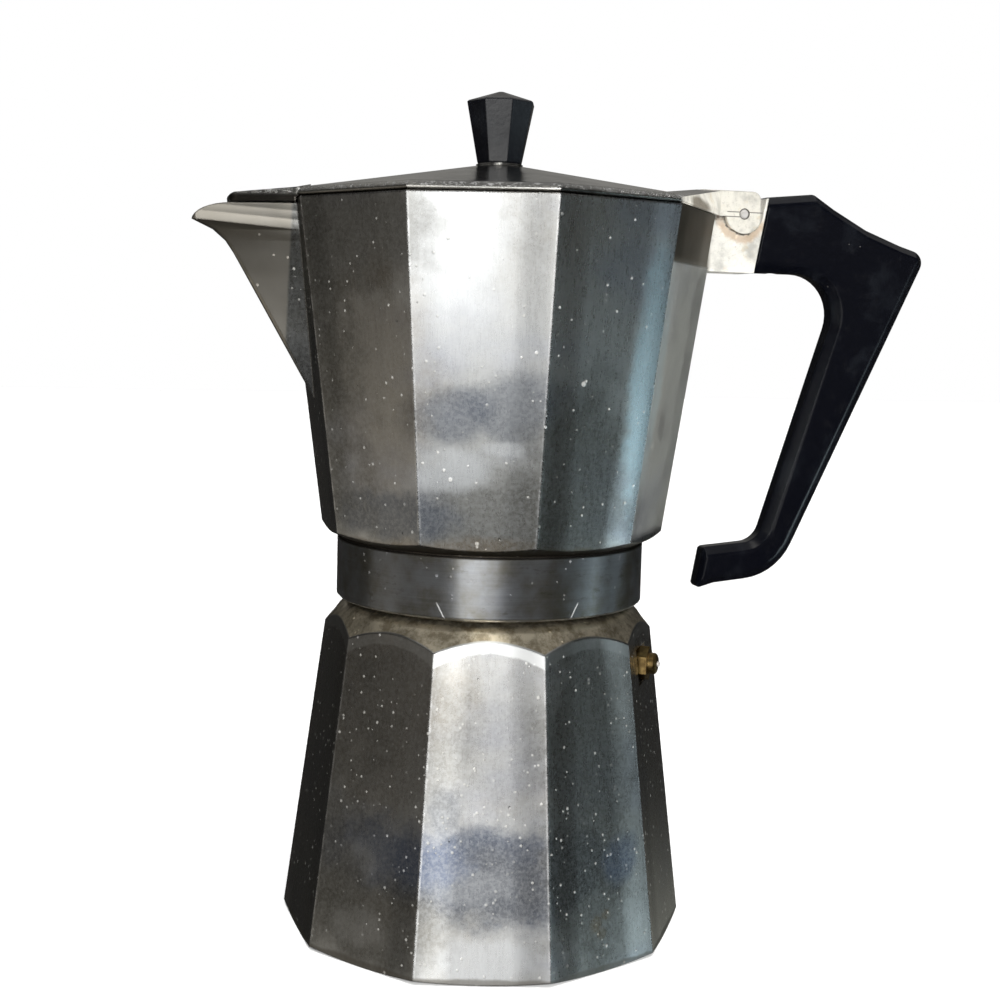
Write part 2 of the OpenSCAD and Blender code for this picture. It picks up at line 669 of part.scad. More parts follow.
module cylinder_below(r, z) { translate([handle_screw_x, 0, z - 20]) cylinder(h = 20, r = r); }

module handle_washer() color(steel) translate([handle_screw_x, 0, head_seat_z - 0.85]) difference() {
    cylinder(h = 0.8, r = head_bore_r - 0.15);
    translate([0, 0, -1]) cylinder(h = 3, r = handle_screw_r + 0.2);
}

module handle_screw() color(steel) translate([handle_screw_x, 0, head_seat_z - 0.9]) difference() {
    r = head_bore_r - 0.2;
    revolve([[0, -2], [r - 0.9, -2], [r - 0.2, -1.3], [r, 0],
             [handle_screw_r, 0], [handle_screw_r, 10.5], [0, 10.5]]);
    translate([-5, -0.5, -3]) cube([10, 1, 1.7]);
}

// ---------------------------------------------------------------- assembly

module lift() { translate([0, 0, foot_drop]) children(); }

lift() boiler();
lift() valve_body();
lift() valve_washer();
lift() valve_seat();
lift() valve_stem();
lift() valve_spring();
lift() funnel();
lift() funnel_filter();
lift() gasket();
lift() filter_plate();
lift() collector();
lift() column_cap();
lift() lid();
lift() hinge_pin();
lift() knob();
lift() knob_insert();
lift() knob_screw();
lift() knob_washer();
lift() handle();
lift() handle_screw();
lift() handle_washer();
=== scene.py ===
# Moka pot: camera, light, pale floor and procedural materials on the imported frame. Metres throughout.
import json
import math
from collections import namedtuple

import bpy
from mathutils import Matrix, Vector


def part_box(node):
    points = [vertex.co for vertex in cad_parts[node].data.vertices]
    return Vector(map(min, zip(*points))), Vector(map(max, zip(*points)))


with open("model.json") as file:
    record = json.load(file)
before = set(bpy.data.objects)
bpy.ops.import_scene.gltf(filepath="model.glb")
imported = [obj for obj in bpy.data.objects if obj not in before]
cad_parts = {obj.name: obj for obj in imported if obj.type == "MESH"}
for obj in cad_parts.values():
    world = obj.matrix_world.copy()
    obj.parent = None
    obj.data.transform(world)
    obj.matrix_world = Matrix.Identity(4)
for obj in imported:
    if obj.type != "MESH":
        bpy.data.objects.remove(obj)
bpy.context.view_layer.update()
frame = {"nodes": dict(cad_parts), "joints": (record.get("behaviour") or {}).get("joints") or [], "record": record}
NODES = frame["nodes"]
scene = bpy.context.scene
MM = 0.001
PIN = Vector(next(j["pos_m"] for j in frame["joints"] if j["name"] == "lid_hinge"))
SKIRT_FOOT_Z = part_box("collector")[0].z
SKIRT_TOP_Z = SKIRT_FOOT_Z + 0.0184
RIM_Z = SKIRT_FOOT_Z + 0.1196
LUG_FOOT_Z = 0.2052
LUG_X = 0.0670                  # where the lug leaves the collector's corner
SPOUT_X = -0.0650               # where the spout leaves the side opposite
SPOUT_FOOT_Z = 0.1600           # just below the spout's lowest point
ROOT_X = 0.0395                 # just before the hinge's root rises from the lid's slope
CHEEK_X = 0.0610                # just before the root's cheeks begin
SHOULDER_FOOT_Z = 0.0790        # below the lowest point of the boiler's shoulder
NECK_Z = 0.1000                 # top of the shoulder's cone
SHOULDER_R, SHOULDER_Z = 0.0513, 0.0924
SHOULDER_SLOPE = 0.6875         # radius that the cone loses per metre up

# The camera looks at a point on the pot's axis. Angles in degrees, lens in mm of a 36 mm sensor.
AZIMUTH, ELEVATION, ROLL = -14.295, 5.018, 1.472
AIM_Z, DISTANCE = 0.141472, 0.470971
LENS, SHIFT = 54.10, (0.00835, -0.03205)


# ------------------------------------------------------------------ camera

def camera():
    """Camera at the named place, tilted by ROLL."""
    az, el, roll = (math.radians(angle) for angle in (AZIMUTH, ELEVATION, ROLL))
    back = Vector((math.sin(az) * math.cos(el), -math.cos(az) * math.cos(el), math.sin(el)))
    level = Vector((math.cos(az), math.sin(az), 0))
    rise = back.cross(level)
    side = math.cos(roll) * level + math.sin(roll) * rise
    up = math.cos(roll) * rise - math.sin(roll) * level
    data = bpy.data.cameras.new("camera")
    data.sensor_width = 36
    data.lens = LENS
    data.shift_x, data.shift_y = SHIFT
    data.clip_start, data.clip_end = 0.01, 50
    cam = bpy.data.objects.new("camera", data)
    pose = Matrix((side, up, back)).transposed().to_4x4()
    pose.translation = Vector((0, 0, AIM_Z)) + back * DISTANCE
    cam.matrix_world = pose
    scene.collection.objects.link(cam)
    scene.camera = cam


# ------------------------------------------------------------------ shader graphs

class Nodes:
    """Shader nodes of one tree, written as sums."""

    def __init__(self, tree):
        self.tree = tree
        tree.nodes.clear()

    def new(self, kind, settings=None, **sockets):
        n = self.tree.nodes.new("ShaderNode" + kind)
        for key, value in (settings or {}).items():
            setattr(n, key, value)
        for key, value in sockets.items():
            self.put(n.inputs[key], value)
        return n

    def put(self, socket, value):
        if isinstance(value, bpy.types.NodeSocket):
            self.tree.links.new(value, socket)
        elif isinstance(value, (tuple, list)) and len(value) == 3 and socket.type == "RGBA":
            socket.default_value = (*value, 1)
        else:
            socket.default_value = value

    def math(self, op, a, b=0.0):
        n = self.new("Math", {"operation": op})
        self.put(n.inputs[0], a)
        self.put(n.inputs[1], b)
        return n.outputs[0]

    def add(self, a, b):
        return self.math("ADD", a, b)

    def sub(self, a, b):
        return self.math("SUBTRACT", a, b)

    def mul(self, a, b):
        return self.math("MULTIPLY", a, b)

    def length(self, a, b):
        """Length of the vector (a, b)."""
        return self.math("SQRT", self.add(self.mul(a, a), self.mul(b, b)))

    def along(self, x, y, degrees):
        """How far a point lies in a level direction, given in degrees from +X."""
        a = math.radians(degrees)
        return self.add(self.mul(x, math.cos(a)), self.mul(y, math.sin(a)))

    def step(self, value, low, high, a=0.0, b=1.0):
        """a below low, b above high, smooth between."""
        n = self.new("MapRange", {"interpolation_type": "SMOOTHSTEP"})
        for key, v in zip(("Value", "From Min", "From Max", "To Min", "To Max"), (value, low, high, a, b)):
            self.put(n.inputs[key], v)
        return n.outputs[0]

    def fall(self, value, low, high):
        """1 below low, 0 above high, smooth between."""
        return self.step(value, low, high, 1.0, 0.0)

    def band(self, value, low, high, soft):
        """1 between low and high, fading out over soft on each side."""
        rise = self.step(value, low - soft, low + soft)
        return self.mul(rise, self.fall(value, high - soft, high + soft))

    def mix(self, t, a, b, blend="MIX"):
        n = self.new("Mix", {"data_type": "RGBA", "blend_type": blend, "clamp_factor": True})
        self.put(n.inputs[0], t)
        self.put(n.inputs[6], a)
        self.put(n.inputs[7], b)
        return n.outputs[2]


class Graph(Nodes):
    """One material. Lengths are in metres, in the piece's own coordinates."""

    def __init__(self, name):
        self.mat = bpy.data.materials.new(name)
        self.mat.use_nodes = True
        super().__init__(self.mat.node_tree)
        out = self.new("OutputMaterial")
        self.bsdf = self.new("BsdfPrincipled")
        self.tree.links.new(self.bsdf.outputs[0], out.inputs[0])
        self.coords = self.new("TexCoord").outputs["Object"]
        split = self.new("SeparateXYZ", Vector=self.coords)
        self.x, self.y, self.z = split.outputs

    def rounded_edges(self, radius):
        """Normal of a surface whose sharp edges are worn to this radius."""
        n = self.new("Bevel", {"samples": 4})
        n.inputs["Radius"].default_value = radius
        return n.outputs[0]

    def upright(self):
        """0 on a level face, 1 on an upright one, whatever the pose."""
        normal = self.new("TexCoord").outputs["Normal"]
        z = self.new("SeparateXYZ", Vector=normal).outputs[2]
        return self.fall(self.math("ABSOLUTE", z), 0.72, 0.85)

    def from_pin(self):
        """Distance past the hinge pin's axis towards the handle, height above it, and distance from it."""
        past, above = self.add(self.x, -PIN.x), self.add(self.z, -PIN.z)
        return past, above, self.length(past, above)

    def place(self, stretch, offset):
        n = self.new("Mapping", Vector=self.coords)
        n.inputs["Scale"].default_value = stretch
        n.inputs["Location"].default_value = (offset, offset * 1.7, offset * 2.3)
        return n.outputs[0]

    def noise(self, size, detail=3.0, stretch=(1, 1, 1), offset=0.0, rough=0.55):
        """Cloudy noise, 0 to 1 about 0.5. size is a patch's width, and stretch shortens it along an axis."""
        n = self.new("TexNoise", Vector=self.place(stretch, offset))
        for key, v in (("Scale", 1 / size), ("Detail", detail), ("Roughness", rough)):
            n.inputs[key].default_value = v
        return n.outputs[0]

    def specks(self, spacing, share, radius, offset=0.0):
        """1 in small round spots, one in a share of the cells of a grid of that spacing."""
        n = self.new("TexVoronoi", Vector=self.place((1, 1, 1), offset))
        n.inputs["Scale"].default_value = 1 / spacing
        pick = self.new("SeparateColor", Color=n.outputs["Color"])
        size = self.mul(pick.outputs[1], radius / spacing)
        near = self.fall(n.outputs["Distance"], self.mul(size, 0.5), size)
        return self.mul(near, self.fall(pick.outputs[0], share - 0.01, share))

    def blob(self, centre, size, offset=0.0):
        """1 inside an ellipsoid with a ragged, soft edge."""
        ragged, soft, grain = 1.4, 0.35, 0.012
        away = self.new("VectorMath", {"operation": "SUBTRACT"})
        self.put(away.inputs[0], self.coords)
        away.inputs[1].default_value = centre
        scaled = self.new("VectorMath", {"operation": "DIVIDE"})
        self.put(scaled.inputs[0], away.outputs[0])
        scaled.inputs[1].default_value = size
        length = self.new("VectorMath", {"operation": "LENGTH"})
        self.put(length.inputs[0], scaled.outputs[0])
        rag = self.mul(self.add(self.noise(grain, 5, offset=offset, rough=0.65), -0.5), ragged)
        return self.fall(self.add(length.outputs["Value"], rag), 1 - soft, 1 + soft)

    def bump(self, height, depth, normal=None):
        """height is 0 to 1 for a rise of depth metres."""
        n = self.new("Bump", Height=height)
        n.inputs["Strength"].default_value = 1.0
        n.inputs["Distance"].default_value = depth
        if normal is not None:
            self.put(n.inputs["Normal"], normal)
        return n.outputs[0]

    def finish(self, **sockets):
        names = {"colour": "Base Color", "rough": "Roughness", "normal": "Normal", "metal": "Metallic",
                 "specular": "Specular IOR Level"}
        for key, value in sockets.items():
            self.put(self.bsdf.inputs[names[key]], value)
        return self.mat


# ------------------------------------------------------------------ the pot's ten sides

# turn in degrees, and a side's distance from the axis: at z = 0, and its growth per metre up
Sides = namedtuple("Sides", "turn apothem growth")
BOILER = Sides(4.6, 0.06015, -0.1225)
COLLECTOR = Sides(0.0, 0.03443, 0.1328)
SIDE_ANGLE = 36
FRONT, LEFT, RIGHT, FAR_LEFT, HANDLE_SIDE = -3, -4, -2, -5, -1    # counted from the side towards the handle


def nearest_side(g, sides):
    """Angle from the middle of the nearest flat side, and that side's distance from the axis."""
    width = math.radians(SIDE_ANGLE)
    share = g.math("DIVIDE", g.add(g.math("ARCTAN2", g.y, g.x), -math.radians(sides.turn)), width)
    angle = g.mul(g.sub(share, g.math("ROUND", share)), width)
    return angle, g.add(g.mul(g.z, sides.growth), sides.apothem)


def corner_distance(g, sides):
    """Distance across the flat side from its nearest upright corner."""
    angle, apothem = nearest_side(g, sides)
    across = g.math("ABSOLUTE", g.math("TANGENT", angle))
    return g.mul(g.sub(math.tan(math.radians(SIDE_ANGLE / 2)), across), apothem)


def sunk(g, sides):
    """How far a point lies inside the nearest flat side."""
    angle, apothem = nearest_side(g, sides)
    return g.sub(apothem, g.mul(g.length(g.x, g.y), g.math("COSINE", angle)))


def on_side(sides, side, across, z):
    """A point on a flat side, across and up in millimetres."""
    a = math.radians(sides.turn + SIDE_ANGLE * side)
    r = sides.apothem + sides.growth * z * MM
    return (r * math.cos(a) - across * MM * math.sin(a), r * math.sin(a) + across * MM * math.cos(a), z * MM)


# ------------------------------------------------------------------ materials

# colours of stains; dark, brown and pale also paint shade, reflection and highlight on some sides, and the pale
# blue one paints a reflection
STAINS_AND_PAINTED_LIGHT = {"violet": (0.135, 0.15, 0.185), "brown": (0.25, 0.19, 0.12), "blue": (0.17, 0.20, 0.28),
          "dark": (0.15, 0.145, 0.13), "pale": (0.70, 0.71, 0.72), "painted_sky_reflection": (0.60, 0.74, 0.80)}
RAW_CAST = (0.86, 0.84, 0.77)
# dark of dirt, also used for painted shade in gaps and under parts
DIRT_AND_SHADE = (0.05, 0.042, 0.032)


def brushed(g):
    """Fine upright brushing, 0 to 1 about 0.5."""
    size, length = 0.00045, 0.018
    fine = g.noise(size, 2, (1, 1, size / length))
    coarse = g.noise(size * 4, 2, (1, 1, size / length), offset=3)
    return g.add(g.mul(fine, 0.6), g.mul(coarse, 0.4))


def raw_silver(g, offset):
    """Colour of the parts of the hinge, left bright from the casting, with grey and straw patches."""
    patch = g.step(g.noise(0.009, 5, offset=offset, rough=0.6), 0.42, 0.66)
    colour = g.mix(patch, RAW_CAST, (0.50, 0.49, 0.45))
    straw = g.step(g.noise(0.006, 5, offset=offset + 2, rough=0.65), 0.55, 0.72)
    colour = g.mix(g.mul(straw, 0.5), colour, (0.66, 0.54, 0.34))
    grain = g.step(g.noise(0.0012, 6, offset=offset + 4, rough=0.8), 0.52, 0.66)
    return g.mix(g.mul(grain, 0.4), colour, (0.40, 0.38, 0.33))


class Jug:
    """Satin aluminium brushed along its height, with heat tint, haze, specks, stains and some painted shade and
    reflection, and bright corners that are partly worn and partly painted highlight. Its values are changed part
    by part before the shader takes them."""

    def __init__(self, name, sides, marks, speckle):
        self.g = g = Graph(name)
        self.lines = brushed(g)
        self.edge = corner_distance(g, sides)
        colour = g.mix(g.noise(0.05, 3, offset=5), (0.46, 0.455, 0.44), (0.60, 0.60, 0.59))
        tint = g.step(g.noise(0.045, 4, (1, 1, 1.6), 11, 0.5), 0.47, 0.66)
        colour = g.mix(g.mul(tint, 0.5), colour, (0.36, 0.38, 0.47))
        brown = g.step(g.noise(0.03, 5, (1, 1, 0.8), 17, 0.6), 0.52, 0.72)
        colour = g.mix(g.mul(brown, 0.4), colour, (0.38, 0.33, 0.26))
        for kind, side, across, z, size, strength in marks:
            half_widths = tuple(width * MM for width in size)
            spot = g.blob(on_side(sides, side, across, z), half_widths, offset=z * 0.07)
            colour = g.mix(g.mul(spot, strength), colour, STAINS_AND_PAINTED_LIGHT[kind])
        grain = g.noise(0.0011, 6, offset=31, rough=0.8)
        colour = g.mix(g.mul(g.step(grain, 0.42, 0.62), 0.22), colour, (0.70, 0.71, 0.72))
        stroke = g.mix(g.step(self.lines, 0.3, 0.7), (0.88, 0.88, 0.88), (1, 1, 1))
        colour = g.mix(1.0, colour, stroke, "MULTIPLY")
        dusty = g.step(g.noise(0.02, 3, offset=42), 0.36, 0.54)
        dust = g.mul(g.specks(0.0020, speckle, 0.00060, 41), dusty)
        self.pale = g.math("MAXIMUM", dust, g.specks(0.009, 0.16, 0.0010, 43))
        self.pits = g.specks(0.0042, 0.14, 0.0005, 47)
        self.colour = g.mix(g.mul(self.pits, 0.28), colour, (0.12, 0.11, 0.09))
        self.rough = g.add(g.add(g.mul(self.lines, 0.10), 0.19), g.mul(grain, 0.08))
        self.metal = 1.0
        self.stain(g.mul(self.pale, 0.55), (0.60, 0.59, 0.55), 0.5, 0.5)

    def stain(self, mask, colour, rough=None, metal=None):
        g = self.g
        self.colour = g.mix(mask, self.colour, colour)
        if rough is not None:
            self.rough = g.add(g.mul(self.rough, g.sub(1.0, mask)), g.mul(mask, rough))
        if metal is not None:
            self.metal = g.sub(self.metal, g.mul(mask, 1.0 - metal))

    def wear_and_highlight_corners(self, where):
        """Bright corners, partly worn and partly painted highlight, broken up along their length."""
        g = self.g
        broken = g.step(g.noise(0.004, 5, offset=53, rough=0.7), 0.40, 0.60, 0.15, 1.0)
        worn_and_lit = g.mul(g.mul(g.fall(self.edge, 0.0002, 0.0008), broken), where)
        self.stain(g.mul(worn_and_lit, 0.5), (0.85, 0.85, 0.85), 0.25)

    def finish(self):
        g = self.g
        normal = g.rounded_edges(0.0006)
        normal = g.bump(g.step(self.edge, 0.0, 0.011), 0.00042, normal)
        normal = g.bump(self.lines, 0.000006, normal)
        normal = g.bump(g.sub(g.mul(self.pale, 0.4), self.pits), 0.00006, normal)
        return g.finish(colour=self.colour, rough=self.rough, normal=normal, metal=self.metal)


# Stains, and marks of painted shade, highlight and reflection: (kind, side, place across it, height, half widths
# along x, y and z, strength), in millimetres
BOILER_MARKS = [
    ("dark", FRONT, 6, 66, (20, 20, 18), 0.35),
    ("violet", FRONT, 3, 31, (40, 20, 13.5), 1.0),
    ("dark", FRONT, 3, 27, (22, 20, 10), 0.35),
    ("violet", FRONT, -12, 49, (5, 20, 7), 0.6),
    ("pale", FRONT, -4, 28, (12, 20, 5), 0.16),
    ("pale", FRONT, 1, 7, (13, 20, 6), 0.6),
    # partly tarnish, partly a painted warm reflection on the left side
    ("brown", LEFT, -4, 72, (20, 24, 26), 0.35),
    ("dark", LEFT, 8, 70, (18, 24, 30), 0.5),
    ("blue", LEFT, 0, 34, (26, 26, 11), 0.75),
    ("pale", LEFT, -4, 30, (6, 8, 5), 0.35),
    ("dark", LEFT, 2, 14, (25, 25, 14), 0.7),
    ("pale", LEFT, -2, 11, (10, 10, 6), 0.35),
    # painted shade: this dark mark darkens almost all of the right side
    ("dark", RIGHT, -3, 48, (16, 20, 55), 0.75),
    ("blue", RIGHT, 9, 31, (6, 10, 7), 0.8),
    ("brown", RIGHT, -2, 14, (2.2, 4, 2.2), 0.6),
    ("brown", RIGHT, 2, 16, (1.8, 4, 1.8), 0.6),
    ("brown", RIGHT, 0, 11, (1.6, 4, 1.6), 0.5),
    # painted shade: these two dark marks darken whole sides
    ("dark", FAR_LEFT, 0, 50, (30, 30, 70), 0.7),
    ("dark", HANDLE_SIDE, 0, 50, (30, 30, 70), 0.4),
]
COLLECTOR_MARKS = [
    # painted highlight: a pale patch at the top left of the front
    ("pale", FRONT, -8, 205, (14, 30, 20), 0.75),
    ("pale", FRONT, -2, 184, (16, 30, 12), 0.35),
    ("dark", FRONT, 14, 213, (10, 30, 12), 0.25),
    ("violet", FRONT, 10, 163, (14, 30, 9), 0.65),
    ("violet", FRONT, -9, 160, (12, 30, 8), 0.7),
    ("dark", FRONT, 4, 131, (20, 30, 13), 0.7),
    ("pale", FRONT, -8, 145, (9, 20, 6), 0.75),
    ("pale", FRONT, 9, 151.5, (7, 20, 2), 0.6),
    ("brown", FRONT, 0, 122, (30, 30, 4), 0.5),
    ("dark", LEFT, 0, 210, (26, 30, 18), 0.65),
    # partly tarnish, partly a painted warm reflection on the left side
    ("brown", LEFT, 4, 170, (16, 30, 30), 0.3),
    ("violet", LEFT, 2, 131, (22, 30, 7), 0.75),
    ("dark", RIGHT, -4, 140, (18, 30, 30), 0.75),
    # painted reflection: a pale blue strip along the right side, near its corner towards the handle
    ("painted_sky_reflection", RIGHT, 17, 170, (7, 9, 45), 0.8),
    # painted shade: this dark mark darkens the whole side
    ("dark", FAR_LEFT, 0, 170, (40, 30, 80), 0.8),
]


def boiler_alloy():
    """Stained boiler: bright top arcs that are partly worn and partly painted highlight, a mottled shoulder, and
    dirt under the neck and at the foot.
    """
    jug = Jug("boiler_alloy", BOILER, BOILER_MARKS, 0.9)
    g = jug.g
    radius = g.length(g.x, g.y)
    cone = g.add(g.mul(g.z, -SHOULDER_SLOPE), SHOULDER_R + SHOULDER_SLOPE * SHOULDER_Z)
    inside = g.sub(cone, radius)                          # how far inside the shoulder's cone
    high = g.step(g.z, SHOULDER_FOOT_Z - 0.001, SHOULDER_FOOT_Z + 0.001)
    shoulder = g.mul(g.step(sunk(g, BOILER), 0.00015, 0.0004), high)
    jug.wear_and_highlight_corners(g.sub(1.0, shoulder))
    # the curved top of each side is bright, partly worn and partly a painted highlight, strongest on the front
    # side
    width = g.add(g.mul(g.noise(0.004, 4, offset=131), 0.0010), 0.0017)
    ahead = g.along(g.x, g.y, BOILER.turn + SIDE_ANGLE * FRONT)
    wear_and_front_highlight = g.step(g.math("DIVIDE", ahead, radius), 0.948, 0.953, 0.22, 0.9)
    worn_arc_and_highlight = g.mul(g.step(inside, 0.0, 0.0001), g.fall(g.sub(inside, width), -0.0002, 0.0003))
    worn_arc_and_highlight = g.mul(worn_arc_and_highlight, g.step(g.z, SHOULDER_FOOT_Z + 0.001, SHOULDER_FOOT_Z + 0.004))
    jug.stain(g.mul(worn_arc_and_highlight, wear_and_front_highlight), (0.88, 0.89, 0.88), 0.36)
    mottle = g.step(g.noise(0.004, 6, offset=137, rough=0.7), 0.40, 0.62)
    jug.stain(shoulder, g.mix(mottle, (0.56, 0.50, 0.38), (0.27, 0.23, 0.16)), 0.28, 0.93)
    dotted = g.step(g.noise(0.012, 3, offset=140), 0.45, 0.6)
    dots = g.mul(g.specks(0.0016, 0.35, 0.0004, 139), dotted)
    jug.stain(g.mul(g.mul(dots, shoulder), 0.6), (0.10, 0.08, 0.05), 0.6, 0.2)
    crease = g.step(g.z, NECK_Z, NECK_Z + 0.0012)
    jug.stain(g.mul(crease, 0.8), DIRT_AND_SHADE, 0.6)
    ragged_z = g.add(g.z, g.mul(g.noise(0.006, 4, offset=141), -0.0016))
    jug.stain(g.mul(g.fall(ragged_z, 0.0006, 0.0016), 0.6), (0.20, 0.18, 0.15), 0.5)
    return jug.finish()


NICKS = ((-120.7, -0.55), (-73, 0.55))      # nicks left on the skirt by a spanner: direction, lean


def skirt(jug):
    """The turned band at the collector's foot: ringed by the lathe, darker, nicked by a spanner."""
    g = jug.g
    zone = g.fall(g.z, SKIRT_TOP_Z - 0.0001, SKIRT_TOP_Z + 0.0002)
    rings = g.noise(0.0005, 3, (0.02, 0.02, 1), 151)
    cloud = g.step(g.noise(0.012, 5, offset=153, rough=0.6), 0.35, 0.68)
    shade = g.mix(cloud, (0.34, 0.35, 0.37), (0.23, 0.22, 0.19))
    shade = g.mix(1.0, shade, g.mix(rings, (0.80, 0.80, 0.80), (1.15, 1.15, 1.15)), "MULTIPLY")
    grime = g.step(g.noise(0.006, 6, (1, 1, 2), 155, 0.7), 0.55, 0.72)
    shade = g.mix(g.mul(grime, 0.5), shade, (0.12, 0.10, 0.07))
    jug.stain(zone, shade, g.add(g.mul(rings, 0.10), 0.30), 0.99)
    scratched = g.step(g.noise(0.02, 3, offset=159), 0.48, 0.6)
    scratch = g.mul(g.specks(0.0035, 0.3, 0.0006, 158), scratched)
    jug.stain(g.mul(g.mul(scratch, zone), 0.5), (0.75, 0.75, 0.73), 0.3)
    broken = g.step(g.noise(0.005, 5, offset=157), 0.4, 0.6, 0.2, 0.9)
    lip = g.mul(g.fall(g.z, SKIRT_FOOT_Z + 0.0003, SKIRT_FOOT_Z + 0.0008), broken)
    jug.stain(lip, (0.80, 0.80, 0.78), 0.3)
    up = g.add(g.z, -SKIRT_FOOT_Z)
    for direction, lean in NICKS:
        ahead = g.step(g.along(g.x, g.y, direction), 0.03, 0.04)
        slant = g.sub(g.along(g.x, g.y, direction + 90), g.mul(g.add(up, -0.0024), lean))
        line = g.step(g.math("ABSOLUTE", slant), 0.00010, 0.00032, 0.8, 0.0)
        nick = g.mul(g.mul(line, g.band(up, 0.0006, 0.0048, 0.0005)), ahead)
        jug.stain(g.mul(nick, zone), (0.85, 0.85, 0.83), 0.3, 0.7)
    # painted shadow in the gap at the skirt's top edge
    groove_shadow = g.band(g.z, SKIRT_TOP_Z - 0.0006, SKIRT_TOP_Z + 0.0006, 0.0003)
    jug.stain(g.mul(groove_shadow, 0.85), DIRT_AND_SHADE, 0.6)


def hinge_side(jug):
    """The sides under the hinge: painted shade in dark brown above the lug's foot, the bright lug and its tarnish,
    and painted shadow under the lid's cheek and round its lobe.
    """
    g = jug.g
    fan_edge = g.mul(g.x, math.tan(math.radians(1.5 * SIDE_ANGLE)))
    fan = g.fall(g.sub(g.math("ABSOLUTE", g.y), fan_edge), -0.0002, 0.0003)
    # painted shade: above the lug's foot the sides are painted dark brown, with a dark line along that foot
    above = g.mul(fan, g.step(g.z, LUG_FOOT_Z, LUG_FOOT_Z + 0.0003))
    lug_shade_colour = g.mix(g.noise(0.01, 5, offset=161), (0.17, 0.14, 0.105), (0.27, 0.235, 0.19))
    jug.stain(above, lug_shade_colour, 0.5)
    boundary = g.band(g.z, LUG_FOOT_Z - 0.0004, LUG_FOOT_Z + 0.0003, 0.0002)
    jug.stain(g.mul(g.mul(fan, boundary), 0.7), DIRT_AND_SHADE, 0.6)
    haze = g.step(g.noise(0.02, 5, offset=165, rough=0.6), 0.25, 0.6, 0.26, 0.52)
    hazed = g.mul(g.mul(fan, haze), g.band(g.z, SKIRT_TOP_Z + 0.005, LUG_FOOT_Z, 0.002))
    jug.stain(hazed, (0.42, 0.44, 0.38), 0.4, 0.5)
    lug = g.step(g.x, LUG_X - 0.0010, LUG_X + 0.0015)
    jug.stain(lug, raw_silver(g, 163), 0.40, 0.55)
    past, rise, away = g.from_pin()
    # painted shadow: a dark ragged line under the lid's cheek
    ragged = g.step(g.noise(0.003, 5, offset=83, rough=0.7), 0.38, 0.52, 0.4, 1.0)
    under = g.mul(g.band(rise, -0.0021, -0.0006, 0.0003), g.fall(past, -0.0058, -0.0048))
    jug.stain(g.mul(g.mul(under, lug), g.mul(ragged, 0.9)), DIRT_AND_SHADE, 0.6)
    # below the pin, a ring of tarnish, and painted shadow at the edge of the lid's lobe
    frayed = g.add(away, g.mul(g.add(g.noise(0.004, 5, offset=167, rough=0.7), -0.5), 0.004))
    low = g.mul(lug, g.fall(rise, -0.004, 0.0))
    jug.stain(g.mul(g.mul(low, g.band(frayed, 0.0064, 0.0090, 0.0008)), 0.55), (0.50, 0.31, 0.15), 0.5)
    jug.stain(g.mul(g.mul(low, g.fall(frayed, 0.0062, 0.0070)), 0.9), DIRT_AND_SHADE, 0.6)


def collector_alloy():
    """Collector: warmer spout, painted shade just above the skirt, the skirt itself, and the sides under the
    hinge.
    """
    jug = Jug("collector_alloy", COLLECTOR, COLLECTOR_MARKS, 0.45)
    g = jug.g
    beside_lug = g.fall(g.x, LUG_X - 0.007, LUG_X - 0.005)
    jug.wear_and_highlight_corners(g.mul(g.step(g.z, SKIRT_TOP_Z + 0.001, SKIRT_TOP_Z + 0.003), beside_lug))
    spout = g.fall(g.x, SPOUT_X - 0.0005, SPOUT_X + 0.0005)
    warm = g.mix(g.noise(0.012, 5, offset=171), (0.36, 0.33, 0.28), (0.50, 0.475, 0.43))
    jug.stain(g.mul(spout, g.step(g.z, SPOUT_FOOT_Z, SPOUT_FOOT_Z + 0.005)), warm, 0.36)
    # painted shade on the downward-facing foot of the sides, just above the skirt
    ragged_z = g.add(g.z, g.mul(g.noise(0.008, 5, offset=173), -0.004))
    low = g.fall(ragged_z, SKIRT_TOP_Z - 0.0005, SKIRT_TOP_Z + 0.0015)
    jug.stain(g.mul(low, 0.6), (0.22, 0.18, 0.12), 0.5)
    skirt(jug)
    hinge_side(jug)
    return jug.finish()


# Patches on the lid's slope: (x, y, half width along x and along y, seed, strength, colour)
LID_PATCHES = [
    (0.034, -0.044, 0.024, 0.024, 64, 0.6, (0.60, 0.59, 0.56)),
    (-0.044, -0.036, 0.022, 0.020, 62, 0.5, (0.52, 0.50, 0.46)),
    (-0.008, -0.044, 0.022, 0.024, 66, 0.5, (0.14, 0.14, 0.13)),
]


def root_silver(g):
    """Colour of the lid's hinge root: bright from the casting, with painted shade low down where it curves out to
    the rim, and painted shade along its cheeks' rounded edges.
    """
    past, rise, _ = g.from_pin()
    silver = g.mix(1.0, raw_silver(g, 77), (0.86, 0.85, 0.83), "MULTIPLY")
    # painted shade: dark patches low on each side of the root, where it curves out towards the rim
    for side in (-1, 1):
        patch = g.blob((0.0500, side * 0.034, RIM_Z + 0.0012), (0.009, 0.013, 0.0022), offset=79)
        silver = g.mix(g.mul(patch, 0.85), silver, (0.12, 0.10, 0.07))
    # painted shade along the cheeks' rounded top and rear edges
    rounded_edge_shade = g.math("MAXIMUM", g.step(rise, 0.0066, 0.0074), g.step(past, 0.0050, 0.0056))
    on_cheek = g.step(g.x, CHEEK_X - 0.001, CHEEK_X + 0.001)
    return g.mix(g.mul(g.mul(rounded_edge_shade, on_cheek), 0.6), silver, (0.25, 0.24, 0.22))


